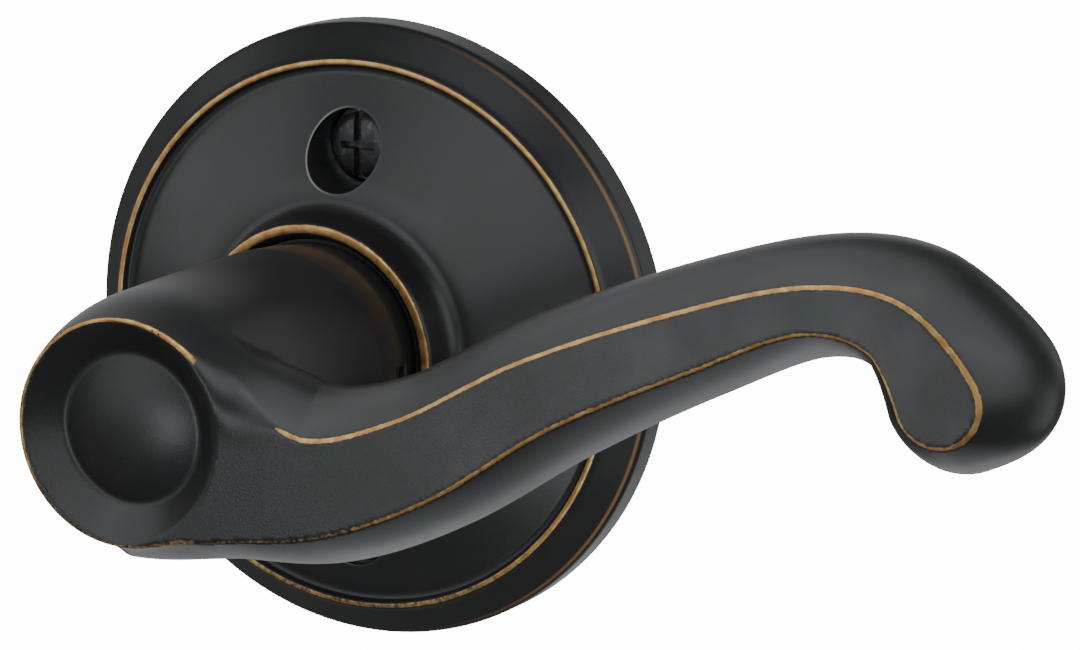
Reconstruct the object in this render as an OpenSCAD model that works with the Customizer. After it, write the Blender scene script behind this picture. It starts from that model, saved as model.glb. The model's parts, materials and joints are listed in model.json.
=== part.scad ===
// Inside trim of a lever handle lockset: a turning lever on a sprung rose.
// X runs along the lever, Y runs into the door and Z is up. The door face is y = 0.
// Every module is drawn with its third axis pointing out of the door, and facing() turns it.

/* [Rose] */
// Outer diameter of the rose
rose_d = 66.6; // [66:0.2:70]
// Height of the straight outer edge of the rose
rose_edge_h = 3.8; // [3.4:0.1:4.2]
// Radius of the raised ring on the rose
ring_r = 29.5; // [29.2:0.1:29.8]
// Height of the raised ring above the door
ring_h = 6.75; // [6.5:0.05:7]
// Height of the boss lip above the door
boss_h = 17.2; // [17:0.1:17.6]
// Wall thickness of the rose
rose_wall = 1.5; // [1.2:0.1:1.6]
// Diameter of each screw hole in the rose
screw_hole_d = 8.5; // [8.3:0.1:8.7]

/* [Lever] */
// Height of the lever's hub face above the door
hub_h = 57.25; // [56:0.25:60]
// Radius of the rim of the hub face
hub_rim_r = 11.8; // [11.6:0.1:12]
// Largest radius of the hub
hub_r = 13.45; // [13.2:0.05:13.8]
// Radius of the neck where it enters the rose
neck_r = 12; // [11.8:0.05:12.05]
// Backward tilt of the lever's front face, in degrees
face_tilt = 5.7; // [4:0.1:7]
// Thickness of the lever arm
arm_t = 13; // [12:0.5:14]
// Depth behind the front face at which the arm is widest
arm_belly = 7; // [6:0.5:8]
// Radius at which the dish meets the dome on the hub face
dish_r = 7.9; // [7.5:0.1:8.2]
// Depth of the dish below the hub rim
dish_depth = 2.8; // [2.4:0.1:3.2]
// Height of the dome at the centre of the hub face
dome_h = 1.5; // [1:0.1:2]

/* [Turning and fixing] */
// Distance between the two mounting screws
screw_spacing = 41.3; // [41.1:0.1:41.5]
// Diameter of the mounting screws' thread
screw_d = 4.2; // [4:0.1:4.2]
// Length of the mounting screws under the head
screw_length = 34; // [28:1:38]
// Side of the square drive spindle
spindle_side = 8; // [7.6:0.1:8]
// Length of drive spindle standing out behind the door face
spindle_reach = 45; // [35:1:55]
// Angle that the lever turns from rest, each way, in degrees
turn_limit = 50; // [40:1:55]

/* [Hidden] */
$fn = 96;
eps = 0.02;

dark_bronze = [0.12, 0.12, 0.13];
zinc_plated = [0.72, 0.73, 0.74];
yellow_zinc = [0.72, 0.65, 0.42];
spring_steel = [0.45, 0.46, 0.48];
white_nylon = [0.88, 0.87, 0.82];
black_nylon = [0.05, 0.05, 0.05];

rose_r = rose_d / 2;
screw_r = screw_d / 2;
screw_offset = screw_spacing / 2;
hole_r = screw_hole_d / 2;

// Clearances
running_gap = 0.06;
slide_gap = 0.15;
fixed_gap = 0.05;

// Small rivets
rivet_r = 1.2;
rivet_head_r = 1.9;
rivet_head_h = 0.7;
rivet_hole_r = rivet_r + fixed_gap;

// Rose: the face is a cone with a cove up to the boss
boss_bore_r = neck_r + 0.35;
boss_wall_r = 14.5;
cove_r = 4;
cove_base_r = 16.66;
cove_base_h = 12.35;
face_outer_r = 28.3;
face_outer_h = 6;
boss_under_h = 11.9;
cove_base_rise = 3.55;
collar_wall = 0.9;
collar_base_h = 3.4;

// Mounting plate: a rim on the door and a raised web
plate_r = rose_r - rose_wall - 0.4;
plate_rim_r = 27.4;
plate_t = 1.6;
web_back = 1.2;
web_front = web_back + plate_t;
plate_bore_r = 10.95;
trim_slot_r = 23.6;
trim_slot_w = 3.2;
trim_slot_half_angle = 11;
trim_slot_angles = [20, 160, 200, 340];
ferrule_h = 2;

// Spring clips between the plate and the inner wall of the rose
clip_angles = [60, 180, 300];
clip_rivet_r = 23.8;
clip_t = 0.6;
clip_w = 5;
clip_in_r = 21.6;
clip_bend_r = 28.6;
clip_lip_h = 2.1;

// Spring housing stands on the web
cup_r = 15.1;
cup_wall = 1.2;
cup_top = 9;
cover_t = 1.2;
ear_t = 1.2;
ear_r = 17.6;
ear_w = 5;
ear_angles = [30, 150, 210, 330];
tab_angles = [90, 210, 330];
tab_w = 3;
tab_rise = 1.7;
cover_lug_in_r = 11.15;
cover_lug_out_r = 11.95;
stop_width_angle = 9;

// Turning parts
tube_r = 9.5;
tube_wall = 1.5;
tube_back = -2;
tube_front = 38;
core_r = tube_r - tube_wall - fixed_gap;
core_back = 2;
core_front = 27;
socket_front = 15;
spindle_front = 14;
pin_r = 1.25;
pin_h = 8;
groove_depth = 0.6;
groove_half_h = 0.55;
retainer_out_r = 11.3;
retainer_eye_angle = 13;
thrust_r = 13;
cam_back = 3.5;
cam_t = 1.3;
cam_r = 12.4;
cam_lug_out_r = 10.85;
lug_half_angle = 6;
stop_lug_r = 13.5;
stop_lug_angle = 8;

// Return spring: open coils whose two legs hold the lugs from both sides
wire_r = 0.6;
coil_r = 12.85;
coil_turns = 2;
coil_base = 5.5;
coil_pitch = 1.45;
leg_angle = 10.5;
leg_inner_r = 10;

// Catch and its slot in the neck
catch_h = 20.1;
catch_angle = -4;
catch_nose = [1.9, 2.9];
catch_tip_r = 11.6;
catch_shoulder = [3.8, 5];
shoulder_in_r = 6;
shoulder_out_r = 7.35;
pocket_floor_r = 2.4;

// Hub outline
neck_base = 16.4;
crown_h = hub_h - 9.25;
crown_r = 27.2;
bore_top = 40;

// Lever arm stations on the front face:
// [along, up, half width of the face, bulge above, bulge below]
ARM = [
    [0, -2.05, 9.3, 2.6, 1.8],
    [11, -3.1, 7.4, 3.4, 3],
    [21, -3.85, 5.05, 4.2, 4],
    [32, 0.05, 4.3, 3.4, 4.2],
    [45, 7.8, 3.65, 3.4, 4.5],
    [60, 14.3, 3.05, 3.7, 3.8],
    [73, 18.8, 2.35, 3.8, 3.6],
    [82.25, 17.6, 3.15, 4.5, 2.8],
    [87.5, 10.6, 4.35, 6.35, 3.05]
];
arm_steps = 5;
arm_tip_steps = 12;
arm_tip_bulge = 4;
arm_end_pull = [-2, -1];
arm_side_levels = 5;
arm_back_levels = 5;
arm_back_share = 0.42;
arm_trim = 0.6;
face_cut = 32;

// ---------- shared shapes ----------

// Turns a shape whose third axis points out of the door into the part's frame
module facing() {
    rotate([90, 0, 0])
        children();
}

// Ring between two radii, from one height to another
module ring(r_in, r_out, low, high) {
    translate([0, 0, low])
        difference() {
            cylinder(r = r_out, h = high - low);
            translate([0, 0, -1])
                cylinder(r = r_in, h = high - low + 2);
        }
}

// Block along a radius, from one radius and height to another
module radial_block(r_in, r_out, width, low, high) {
    translate([r_in, -width / 2, low])
        cube([r_out - r_in, width, high - low]);
}

// Flat sector between two radii, centred on the first axis
module sector(r_in, r_out, half_angle) {
    far = 2 * r_out;
    intersection() {
        difference() {
            circle(r = r_out);
            circle(r = r_in);
        }
        polygon([
            [0, 0],
            [far * cos(half_angle), -far * sin(half_angle)],
            [far * cos(half_angle), far * sin(half_angle)]
        ]);
    }
}

// Repeats a shape at both screws
module at_screws() {
    for (side = [-1, 1])
        translate([0, side * screw_offset, 0])
            children();
}

// Rivet with a low head at each end of its grip
module rivet(back, front) {
    crown = rivet_head_r - 0.5;
    translate([0, 0, back - rivet_head_h])
        cylinder(r1 = crown, r2 = rivet_head_r, h = rivet_head_h);
    translate([0, 0, back - eps])
        cylinder(r = rivet_r, h = front - back + 2 * eps);
    translate([0, 0, front])
        cylinder(r1 = rivet_head_r, r2 = crown, h = rivet_head_h);
}

// Round wire swept along a list of points, with flat ends
module wire(points, r, sides = 10) {
    last = len(points) - 1;
    along = [for (i = [0:last]) unit(points[min(i + 1, last)] - points[max(i - 1, 0)])];
    rings = [
        for (i = [0:last])
            let (
                u = unit(cross(along[i], wire_side(along[i]))),
                v = cross(along[i], u)
            )
            for (k = [0:sides - 1])
                points[i] + r * (cos(360 * k / sides) * u + sin(360 * k / sides) * v)
    ];
    walls = [
        for (i = [0:last - 1])
            for (k = [0:sides - 1])
                let (a = i * sides + k, b = i * sides + (k + 1) % sides)
                each [[a, b, a + sides], [b, b + sides, a + sides]]
    ];
    back = [for (k = [sides - 1:-1:0]) k];
    front = [for (k = [0:sides - 1]) last * sides + k];
    polyhedron(rings, concat(walls, [back], [front]), convexity = 8);
}

function unit(v) = v / norm(v);
function wire_side(v) = abs(v[2]) > 0.9 ? [1, 0, 0] : [0, 0, 1];
function polar(r, angle, h) = [r * cos(angle), r * sin(angle), h];

// ---------- fixed parts ----------

// Section of the rose's outer surface, filled down to the door
module rose_outline() {
    lip_h = boss_h - 0.3;
    difference() {
        polygon([
            [boss_bore_r, 0],
            [rose_r, 0],
            [rose_r, rose_edge_h - 0.5],
            [rose_r - 0.5, rose_edge_h],
            [ring_r + 0.7, ring_h - 0.5],
            [ring_r + 0.3, ring_h - 0.05],
            [ring_r, ring_h],
            [ring_r - 0.3, ring_h - 0.05],
            [ring_r - 0.7, face_outer_h - 0.05],
            [face_outer_r, face_outer_h],
            [cove_base_r, cove_base_h],
            [boss_wall_r, cove_base_h + cove_base_rise],
            [boss_wall_r - 0.2, lip_h],
            [boss_wall_r - 0.6, boss_h],
            [boss_wall_r - 1.3, boss_h],
            [boss_bore_r, lip_h - 0.5]
        ]);
        translate([boss_wall_r + cove_r, cove_base_h + cove_base_rise])
            circle(r = cove_r);
    }
}

// Section of the space behind the rose
module rose_hollow() {
    polygon([
        [0, -1],
        [rose_r - rose_wall, -1],
        [rose_r - rose_wall, rose_edge_h - 0.9],
        [ring_r, ring_h - 1.85],
        [face_outer_r - 0.6, face_outer_h - 1.5],
        [cove_base_r - 0.5, cove_base_h - 1.6],
        [boss_wall_r + 0.9, boss_under_h],
        [0, boss_under_h]
    ]);
}

module rose() {
    color(dark_bronze)
        facing()
            difference() {
                union() {
                    rotate_extrude()
                        difference() {
                            rose_outline();
                            rose_hollow();
                        }
                    intersection() {
                        at_screws()
                            translate([0, 0, collar_base_h])
                                cylinder(r = hole_r + collar_wall, h = boss_h);
                        rotate_extrude()
                            rose_outline();
                    }
                }
                at_screws()
                    translate([0, 0, -1])
                        cylinder(r = hole_r, h = boss_h + 2);
            }
}

module mounting_plate() {
    drill_h = web_front + 2;
    color(zinc_plated)
        facing()
            difference() {
                union() {
                    ring(plate_rim_r - plate_t, plate_r, 0, plate_t);
                    ring(plate_bore_r, plate_rim_r, web_back, web_front);
                }
                at_screws()
                    translate([0, 0, -1])
                        cylinder(r = screw_r + 0.25, h = drill_h);
                for (angle = ear_angles)
                    translate(polar(ear_r, angle, -1))
                        cylinder(r = rivet_hole_r, h = drill_h);
                for (angle = clip_angles)
                    translate(polar(clip_rivet_r, angle, -1))
                        cylinder(r = rivet_hole_r, h = drill_h);
                for (angle = trim_slot_angles)
                    rotate(angle)
                        translate([0, 0, -1])
                            linear_extrude(height = drill_h)
                                sector(trim_slot_r - trim_slot_w / 2, trim_slot_r + trim_slot_w / 2,
                                    trim_slot_half_angle);
            }
}

// Flanged bearing for the tube in the middle of the plate
module rear_bushing() {
    bush_in = tube_r + running_gap;
    flange_r = plate_bore_r + 1.25;
    flange_t = 0.6;
    color(white_nylon)
        facing()
            union() {
                ring(bush_in, plate_bore_r - fixed_gap, web_back, web_front + 0.1);
                ring(bush_in, flange_r, web_front + 0.02, web_front + flange_t);
            }
}

module thrust_washer() {
    washer_t = 0.5;
    washer_front = web_back - fixed_gap;
    color(yellow_zinc)
        facing()
            ring(tube_r + 0.4, thrust_r, washer_front - washer_t, washer_front);
}

// Riveted ear of the spring housing
module housing_ear(cup_in) {
    base = web_front + fixed_gap;
    difference() {
        union() {
            radial_block(cup_in + 0.4, ear_r, ear_w, base, web_front + ear_t);
            translate([ear_r, 0, base])
                cylinder(r = ear_w / 2, h = ear_t - fixed_gap);
        }
        translate([ear_r, 0, 0])
            cylinder(r = rivet_hole_r, h = cup_top);
    }
}

// Cup for the return spring, with two stops for the driver cam
module spring_housing() {
    cup_in = cup_r - cup_wall;
    stop_middle = turn_limit + stop_lug_angle + 1 + stop_width_angle / 2;
    color(yellow_zinc)
        facing()
            union() {
                ring(cup_in, cup_r, web_front + fixed_gap, cup_top);
                for (angle = ear_angles)
                    rotate(angle)
                        housing_ear(cup_in);
                for (angle = tab_angles)
                    rotate(angle)
                        radial_block(cup_in + 0.2, cup_r - 0.1, tab_w, cup_top - 1, cup_top + tab_rise);
                for (side = [-1, 1])
                    rotate(-90 + side * stop_middle)
                        translate([0, 0, web_front + fixed_gap])
                            linear_extrude(height = cam_back + cam_t - web_front)
                                sector(cam_r + 0.4, cup_in + 0.4, stop_width_angle / 2);
            }
}

module housing_rivets() {
    color(zinc_plated)
        facing()
            for (angle = ear_angles)
                translate(polar(ear_r, angle, 0))
                    rivet(web_back, web_front + ear_t);
}

// Cover with a lug that the spring's legs rest on
module spring_cover() {
    color(yellow_zinc)
        facing()
            difference() {
                union() {
                    ring(tube_r + 0.4, cup_r, cup_top + fixed_gap, cup_top + cover_t);
                    rotate(90)
                        translate([0, 0, cam_back + cam_t + 0.5])
                            linear_extrude(height = cup_top - cam_back - cam_t)
                                sector(cover_lug_in_r, cover_lug_out_r, lug_half_angle);
                }
                for (angle = tab_angles)
                    rotate(angle)
                        radial_block(cup_r - cup_wall, cup_r + 1, tab_w + 0.3, cup_top - 0.5, cup_top + 2);
            }
}

// Bearing sleeve for the tube, pressed into the boss of the rose from behind
module neck_bushing() {
    bush_in = tube_r + running_gap;
    flange_r = boss_wall_r + 0.1;
    color(black_nylon)
        facing()
            union() {
                ring(bush_in, boss_bore_r - fixed_gap, boss_under_h - 0.5, neck_base - 0.5);
                ring(bush_in, flange_r, cup_top + tab_rise + 0.1, boss_under_h - fixed_gap);
            }
}

// Collars that centre the rose and carry the screw heads
module screw_ferrules() {
    color(zinc_plated)
        facing()
            at_screws()
                ring(screw_r + 0.15, hole_r - 0.15, web_front + fixed_gap, web_front + ferrule_h);
}

// Pan head screws with a cross recess and one long slot
module mounting_screws() {
    head_r = 3.5;
    head_h = 2.1;
    head_bevel = 0.6;
    seat = web_front + ferrule_h + fixed_gap;
    recess_base = seat + head_h - 1.2;
    shank_r = screw_r - 0.25;
    thread_top = 0.4;
    thread_base = seat - screw_length + 1;
    slot_w = 0.9;
    cross_w = 0.8;
    cross_length = 4;
    color(dark_bronze)
        facing()
            at_screws()
                difference() {
                    union() {
                        translate([0, 0, seat])
                            cylinder(r = head_r, h = head_h - head_bevel);
                        translate([0, 0, seat + head_h - head_bevel])
                            cylinder(r1 = head_r, r2 = head_r - 0.9, h = head_bevel);
                        translate([0, 0, thread_top - eps])
                            cylinder(r = shank_r, h = seat - thread_top + 2 * eps);
                        translate([0, 0, thread_base])
                            cylinder(r = screw_r, h = thread_top - thread_base);
                        translate([0, 0, thread_base - 1])
                            cylinder(r1 = screw_r - 0.8, r2 = screw_r, h = 1);
                    }
                    translate([-slot_w / 2, -head_r - 1, recess_base])
                        cube([slot_w, 2 * head_r + 2, head_h]);
                    translate([-cross_length / 2, -cross_w / 2, recess_base])
                        cube([cross_length, cross_w, head_h]);
                }
}

module rose_clips() {
    clip_tip_r = rose_r - rose_wall - 0.1;
    clip_top = web_front + clip_t;
    color(spring_steel)
        facing()
            for (angle = clip_angles)
                rotate(angle)
                    difference() {
                        union() {
                            radial_block(clip_in_r, clip_bend_r, clip_w, web_front + fixed_gap, clip_top);
                            radial_block(clip_bend_r - clip_t, clip_tip_r, clip_w,
                                clip_lip_h, clip_lip_h + clip_t);
                            radial_block(clip_bend_r - clip_t, clip_bend_r, clip_w, clip_lip_h, clip_top);
                        }
                        translate([clip_rivet_r, 0, 0])
                            cylinder(r = rivet_hole_r, h = clip_top + 1);
                    }
}

module clip_rivets() {
    color(zinc_plated)
        facing()
            for (angle = clip_angles)
                translate(polar(clip_rivet_r, angle, 0))
                    rivet(web_back, web_front + clip_t);
}

// ---------- the lever ----------

// Smooth interpolation through four stations
function blend(p0, p1, p2, p3, t) =
    0.5 * (2 * p1 + (p2 - p0) * t + (2 * p0 - 5 * p1 + 4 * p2 - p3) * t * t
        + (3 * p1 - p0 - 3 * p2 + p3) * t * t * t);

// The station after the last one, placed so that the arm curls to its end and stops widening there
function arm_beyond(last) = [
    ARM[last][0] + arm_end_pull[0],
    ARM[last][1] + arm_end_pull[1],
    ARM[last - 1][2],
    ARM[last - 1][3],
    ARM[last - 1][4]
];

function arm_at(i, t) = blend(
    ARM[max(i - 1, 0)], ARM[i], ARM[i + 1], i + 2 < len(ARM) ? ARM[i + 2] : arm_beyond(i + 1), t);

// Lever arm: one closed outline, repeated at each depth from the flat face to the rounded back
module arm() {
    spans = len(ARM) - 1;
    path = concat(
        [for (i = [0:spans - 1]) for (s = [0:arm_steps - 1]) arm_at(i, s / arm_steps)],
        [ARM[spans]]
    );
    last = len(path) - 1;
    flat_dir = [
        for (i = [0:last])
            let (a = path[max(i - 1, 0)], b = path[min(i + 1, last)])
            unit([b[0] - a[0], b[1] - a[1]])
    ];
    end_dir = flat_dir[last];
    end_side = [-end_dir[1], end_dir[0]];
    // Each spoke: centre, outward direction, face half width and bulge
    upper = [
        for (i = [0:last])
            [[path[i][0], path[i][1]], [-flat_dir[i][1], flat_dir[i][0]], path[i][2], path[i][3]]
    ];
    tip = [
        for (s = [1:arm_tip_steps - 1])
            let (
                a = 180 * s / arm_tip_steps,
                side_bulge = a < 90 ? path[last][3] : path[last][4],
                share = pow(sin(a), 3),
                bulge = arm_tip_bulge * share + side_bulge * (1 - share)
            )
            [[path[last][0], path[last][1]], cos(a) * end_side + sin(a) * end_dir, path[last][2], bulge]
    ];
    lower = [
        for (i = [last:-1:0])
            [[path[i][0], path[i][1]], [flat_dir[i][1], -flat_dir[i][0]], path[i][2], path[i][4]]
    ];
    spokes = concat(upper, tip, lower);
    count = len(spokes);
    // The sides start above the face, and lever() trims them to it
    above = -arm_trim / arm_belly;
    side = [for (k = [0:arm_side_levels]) above + (1 - above) * k / arm_side_levels];
    back = [for (k = [1:arm_back_levels]) k / arm_back_levels];
    // Each level: depth, share of the bulge, and share of the full width
    levels = concat(
        [for (t = side) [arm_belly * t, 1 - pow(1 - t, 2), 1]],
        [
            for (t = back)
                let (share = 1 - (1 - arm_back_share) * (1 - sqrt(1 - pow(t, 2))))
                [arm_belly + (arm_t - arm_belly) * t, 1, share]
        ]
    );
    points = [
        for (level = levels)
            for (s = spokes)
                let (at = s[0] + s[1] * (s[2] + s[3] * level[1]) * level[2])
                [at[0], at[1], -level[0]]
    ];
    walls = [
        for (k = [0:len(levels) - 2])
            for (j = [0:count - 1])
                let (a = k * count + j, b = k * count + (j + 1) % count)
                each [[a, a + count, b], [b, a + count, b + count]]
    ];
    // The outline is closed in front and behind by strips across it
    rear_first = (len(levels) - 1) * count;
    strips = [
        for (j = [0:floor(count / 2) - 1])
            let (mate = count - 1 - j)
            each [
                [j, j + 1, mate], if (j + 1 < mate - 1) [j + 1, mate - 1, mate],
                [rear_first + j, rear_first + mate, rear_first + j + 1],
                if (j + 1 < mate - 1) [rear_first + j + 1, rear_first + mate, rear_first + mate - 1]
            ]
    ];
    polyhedron(points, concat(walls, strips), convexity = 8);
}

// Section of the hub and neck, without the hollows
module hub_outline() {
    intersection() {
        polygon([
            [0, neck_base],
            [neck_r, neck_base],
            [neck_r, neck_base + 1.4],
            [neck_r + 0.35, neck_base + 3.4],
            [neck_r + 0.8, neck_base + 7],
            [neck_r + 1.05, neck_base + 12],
            [hub_r, crown_h],
            [hub_r, hub_h],
            [0, hub_h]
        ]);
        union() {
            square([hub_r + 1, crown_h]);
            translate([hub_r - crown_r, crown_h])
                circle(r = crown_r);
        }
    }
}

// Section of the dish and dome that are sunk into the hub face
module dish_outline() {
    dome_r = (dish_r * dish_r + dome_h * dome_h) / (2 * dome_h);
    dish_base = hub_h - dish_depth;
    difference() {
        polygon([
            [0, dish_base],
            [dish_r, dish_base],
            [hub_rim_r - 0.2, hub_h],
            [hub_rim_r + 3, hub_h + 2.6],
            [0, hub_h + 2.6]
        ]);
        translate([0, dish_base + dome_h - dome_r])
            circle(r = dome_r);
    }
}

// Slot that the catch slides in, cut outwards from a radius
module catch_slot(r_in, r_out, size) {
    half_h = size[0] / 2 + slide_gap;
    rotate(catch_angle)
        radial_block(r_in, r_out, size[1] + 2 * slide_gap, catch_h - half_h, catch_h + half_h);
}

// Turning lever: hub, neck and arm in one casting
module lever() {
    color(dark_bronze)
        facing()
            difference() {
                union() {
                    rotate_extrude()
                        hub_outline();
                    translate([0, 0, hub_h])
                        rotate([0, face_tilt, 0])
                            arm();
                }
                translate([0, 0, hub_h])
                    rotate([0, face_tilt, 0])
                        translate([0, -face_cut, 0])
                            cube([4 * face_cut, 2 * face_cut, face_cut]);
                rotate_extrude()
                    dish_outline();
                translate([0, 0, neck_base - 1])
                    cylinder(r = tube_r + fixed_gap, h = bore_top - neck_base + 1);
                catch_slot(tube_r - 2, hub_r + 2, catch_nose);
            }
}

// ---------- turning parts inside ----------

// Hole for the cross pin, through the tube, the core and the spindle
module cross_hole() {
    translate([-tube_r - 2, 0, pin_h])
        rotate([0, 90, 0])
            cylinder(r = pin_r, h = 2 * tube_r + 4);
}

// Tube that the lever is pressed on, turning in both bushings
module spindle_tube() {
    color(zinc_plated)
        facing()
            difference() {
                ring(tube_r - tube_wall, tube_r, tube_back, tube_front);
                catch_slot(tube_r - 3, tube_r + 2, catch_nose);
                cross_hole();
                ring(tube_r - groove_depth, tube_r + 1, -groove_half_h, groove_half_h);
            }
}

// Insert in the tube: it takes the spindle from behind and holds the catch
module spindle_core() {
    socket = spindle_side + 0.3;
    color(zinc_plated)
        facing()
            difference() {
                translate([0, 0, core_back])
                    cylinder(r = core_r, h = core_front - core_back);
                translate([-socket / 2, -socket / 2, core_back - 1])
                    cube([socket, socket, socket_front - core_back + 1]);
                cross_hole();
                catch_slot(pocket_floor_r, core_r + 1, catch_shoulder);
            }
}

// Hollow cross pin
module spindle_pin() {
    pin_bore_r = 0.7;
    pin_length = 2 * (tube_r - 0.1);
    color(spring_steel)
        facing()
            translate([-pin_length / 2, 0, pin_h])
                rotate([0, 90, 0])
                    difference() {
                        cylinder(r = pin_r - 0.01, h = pin_length);
                        translate([0, 0, -1])
                            cylinder(r = pin_bore_r, h = pin_length + 2);
                    }
}

// Square bar that turns the latch
module drive_spindle() {
    half = spindle_side / 2;
    chamfer = 0.6;
    color(spring_steel)
        facing()
            difference() {
                translate([0, 0, -spindle_reach])
                    linear_extrude(height = spindle_reach + spindle_front)
                        polygon([
                            [half, -half + chamfer], [half, half - chamfer],
                            [half - chamfer, half], [-half + chamfer, half],
                            [-half, half - chamfer], [-half, -half + chamfer],
                            [-half + chamfer, -half], [half - chamfer, -half]
                        ]);
                cross_hole();
            }
}

// Disc on the tube with a lug for the spring and a lug for the stops
module driver_cam() {
    cam_bore_r = tube_r + 0.02;
    color(yellow_zinc)
        facing()
            union() {
                ring(cam_bore_r, cam_r, cam_back, cam_back + cam_t);
                rotate(90)
                    translate([0, 0, cam_back])
                        linear_extrude(height = cup_top - cam_back - 0.3)
                            sector(cam_bore_r, cam_lug_out_r, lug_half_angle);
                rotate(-90)
                    translate([0, 0, cam_back])
                        linear_extrude(height = cam_t)
                            sector(cam_bore_r, stop_lug_r, stop_lug_angle);
            }
}

// Open retaining ring in the groove at the back of the tube, with an eye at each end
module retaining_ring() {
    ring_t = 1;
    eye_r = 1.6;
    eye_hole_r = 0.7;
    gap_half_angle = 5;
    color(spring_steel)
        facing()
            translate([0, 0, -ring_t / 2])
                linear_extrude(height = ring_t)
                    difference() {
                        union() {
                            circle(r = retainer_out_r);
                            for (side = [-1, 1])
                                rotate(-90 + side * retainer_eye_angle)
                                    translate([retainer_out_r + 0.3, 0])
                                        circle(r = eye_r);
                        }
                        circle(r = tube_r - groove_depth + fixed_gap);
                        rotate(-90)
                            sector(0, retainer_out_r + 2 * eye_r, gap_half_angle);
                        for (side = [-1, 1])
                            rotate(-90 + side * retainer_eye_angle)
                                translate([retainer_out_r + 0.5, 0])
                                    circle(r = eye_hole_r);
                    }
}

// Thin washer with three waves, between the retaining ring and the thrust washer
module wave_washer() {
    steps = 48;
    wave_in = tube_r + 0.2;
    wave_out = retainer_out_r + 0.3;
    sheet_t = 0.05;
    middle = 0.58;
    swing = 0.02;
    points = [
        for (i = [0:steps - 1])
            let (a = 360 * i / steps, h = middle + swing * sin(3 * a))
            each [
                polar(wave_in, a, h - sheet_t / 2), polar(wave_out, a, h - sheet_t / 2),
                polar(wave_out, a, h + sheet_t / 2), polar(wave_in, a, h + sheet_t / 2)
            ]
    ];
    walls = [
        for (i = [0:steps - 1])
            for (k = [0:3])
                let (
                    a = 4 * i + k,
                    b = 4 * i + (k + 1) % 4,
                    c = 4 * ((i + 1) % steps) + (k + 1) % 4,
                    d = 4 * ((i + 1) % steps) + k
                )
                each [[a, c, b], [a, d, c]]
    ];
    color(spring_steel)
        facing()
            polyhedron(points, walls, convexity = 6);
}

// Torsion spring: both ends turn inwards, one on each side of the two lugs
module return_spring() {
    steps_per_turn = 28;
    sweep = 360 * coil_turns - 2 * leg_angle;
    steps = ceil(sweep / 360 * steps_per_turn);
    from = 90 + leg_angle;
    coil = [
        for (i = [0:steps])
            polar(coil_r, from + sweep * i / steps, coil_base + coil_pitch * sweep / 360 * i / steps)
    ];
    top = coil_base + coil_pitch * sweep / 360;
    points = concat(
        [polar(leg_inner_r, from, coil_base), polar(coil_r - 1, from, coil_base)],
        coil,
        [polar(coil_r - 1, from + sweep, top), polar(leg_inner_r, from + sweep, top)]
    );
    color(spring_steel)
        facing()
            wire(points, wire_r);
}

// ---------- the catch ----------

// Catch that a pin pushes in through the neck to free the lever
module lever_catch() {
    color(spring_steel)
        facing()
            rotate(catch_angle)
                union() {
                    radial_block(shoulder_in_r, shoulder_out_r, catch_shoulder[1],
                        catch_h - catch_shoulder[0] / 2, catch_h + catch_shoulder[0] / 2);
                    radial_block(shoulder_in_r, catch_tip_r, catch_nose[1],
                        catch_h - catch_nose[0] / 2, catch_h + catch_nose[0] / 2);
                }
}

// Coil spring that pushes the catch outwards
module catch_spring() {
    turns = 3.5;
    steps = 56;
    mean_r = 1.3;
    thin_wire_r = 0.2;
    low = pocket_floor_r + thin_wire_r + 0.05;
    high = shoulder_in_r - thin_wire_r - 0.05;
    wire_sides = 8;
    points = [
        for (i = [0:steps])
            let (a = 360 * turns * i / steps)
            [low + (high - low) * i / steps, mean_r * cos(a), mean_r * sin(a)]
    ];
    color(spring_steel)
        facing()
            rotate(catch_angle)
                translate([0, 0, catch_h])
                    wire(points, thin_wire_r, wire_sides);
}

rose();
mounting_plate();
rear_bushing();
thrust_washer();
spring_housing();
housing_rivets();
spring_cover();
neck_bushing();
screw_ferrules();
mounting_screws();
rose_clips();
clip_rivets();
lever();
spindle_tube();
spindle_core();
spindle_pin();
drive_spindle();
driver_cam();
retaining_ring();
wave_washer();
return_spring();
lever_catch();
catch_spring();
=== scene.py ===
import json
import math

import bmesh
import bpy
import numpy as np
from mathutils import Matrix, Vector


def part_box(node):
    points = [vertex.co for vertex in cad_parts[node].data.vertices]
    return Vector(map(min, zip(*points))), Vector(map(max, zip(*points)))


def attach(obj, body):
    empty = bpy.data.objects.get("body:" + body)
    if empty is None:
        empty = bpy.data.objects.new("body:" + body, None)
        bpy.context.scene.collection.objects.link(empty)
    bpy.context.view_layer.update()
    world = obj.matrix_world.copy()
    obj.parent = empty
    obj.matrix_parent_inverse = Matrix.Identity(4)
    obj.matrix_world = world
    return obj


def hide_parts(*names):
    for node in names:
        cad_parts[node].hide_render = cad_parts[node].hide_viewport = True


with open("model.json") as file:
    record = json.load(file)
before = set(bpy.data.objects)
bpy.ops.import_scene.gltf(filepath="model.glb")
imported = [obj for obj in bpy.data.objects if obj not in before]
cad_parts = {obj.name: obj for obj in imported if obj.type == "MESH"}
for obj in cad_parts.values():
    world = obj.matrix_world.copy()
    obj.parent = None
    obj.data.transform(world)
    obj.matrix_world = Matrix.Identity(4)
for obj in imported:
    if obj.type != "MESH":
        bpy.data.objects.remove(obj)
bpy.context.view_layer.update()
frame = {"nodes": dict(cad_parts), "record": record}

MM = 0.001

# ---------- sizes shared with the CAD part, in millimetres ----------

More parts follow.
